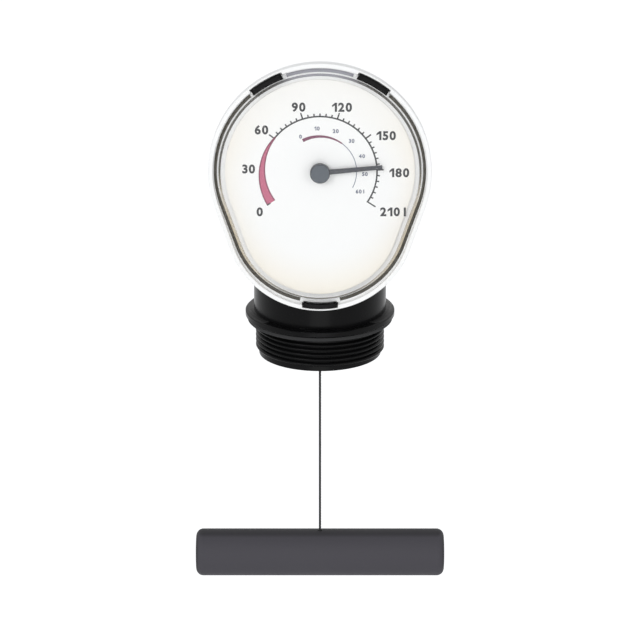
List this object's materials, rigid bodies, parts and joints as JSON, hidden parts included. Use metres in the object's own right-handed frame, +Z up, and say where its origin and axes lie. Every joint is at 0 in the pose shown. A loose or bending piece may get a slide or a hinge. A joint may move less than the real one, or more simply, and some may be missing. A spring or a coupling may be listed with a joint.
{
  "type": "tank level gauge",
  "caption": "Dial level gauge that screws into a drum's bung: a float on a cord turns a spring reel, a gear train and a pointer behind a clear egg-shaped cover.",
  "frame": {"origin": "on the neck's axis, in the plane where the seal meets the bung", "axes": "+Z up along the neck, the dial faces -Y, +X is to the reader's right"},
  "size_m": [0.118, 0.0755, 0.2589],
  "materials": {
    "black_plastic": "satin",
    "white_plastic": "satin",
    "dial_white": "matt",
    "clear_plastic": "gloss",
    "pointer_paint": "satin",
    "float_plastic": "matt",
    "seal_rubber": "matt",
    "acetal": "satin",
    "brass": "satin",
    "steel": "satin",
    "cord": "matt"
  },
  "bodies": {
    "gauge_head": {"housing": "black_plastic", "seal_ring": "seal_rubber", "cord_guide": "acetal", "dial_tray": "white_plastic", "tray_screws": "steel", "dial_plate": "dial_white", "clear_cover": "clear_plastic", "front_plate": "brass", "middle_plate": "brass", "rear_plate": "brass", "front_spacer_1": "steel", "front_spacer_2": "steel", "front_spacer_3": "steel", "front_spacer_4": "steel", "rear_spacer_1": "steel", "rear_spacer_2": "steel", "rear_spacer_3": "steel", "rear_spacer_4": "steel", "mechanism_screws": "steel", "reel_axle": "steel", "return_spring": "steel", "idler_axle": "steel", "pointer_bush": "brass", "cord_upper": "cord"},
    "reel": {"reel": "acetal", "spring_cover": "acetal", "cord_winding": "cord"},
    "idler": {"idler_gear": "brass"},
    "pointer": {"pointer_shaft": "steel", "pointer_gear": "brass", "pointer": "pointer_paint"},
    "float": {"float": "float_plastic", "cord_stop": "steel", "hanging_cord": "cord"}
  },
  "joints": [
    {"name": "float_slide", "type": "slide", "parent": "gauge_head", "child": "float", "axis": [0, 0, 1], "range_m": [-0.698, 0.088], "deforming": ["hanging_cord"]},
    {"name": "reel_spin", "type": "hinge", "parent": "gauge_head", "child": "reel", "pos_m": [0.01397, 0, 0.08], "axis": [0, 1, 0], "range_deg": [-2905, 374]},
    {"name": "idler_spin", "type": "hinge", "parent": "gauge_head", "child": "idler", "pos_m": [0.00851, 0, 0.06765], "axis": [0, 1, 0], "range_deg": [-107, 830]},
    {"name": "pointer_spin", "type": "hinge", "parent": "gauge_head", "child": "pointer", "pos_m": [0, 0, 0.08], "axis": [0, 1, 0], "range_deg": [-207.5, 26.5]}
  ],
  "couplings": [
    {"joint": "reel_spin", "follows": "float_slide", "rad_per_m": 71.603},
    {"joint": "idler_spin", "follows": "float_slide", "rad_per_m": -20.458},
    {"joint": "pointer_spin", "follows": "float_slide", "rad_per_m": 5.1145}
  ]
}
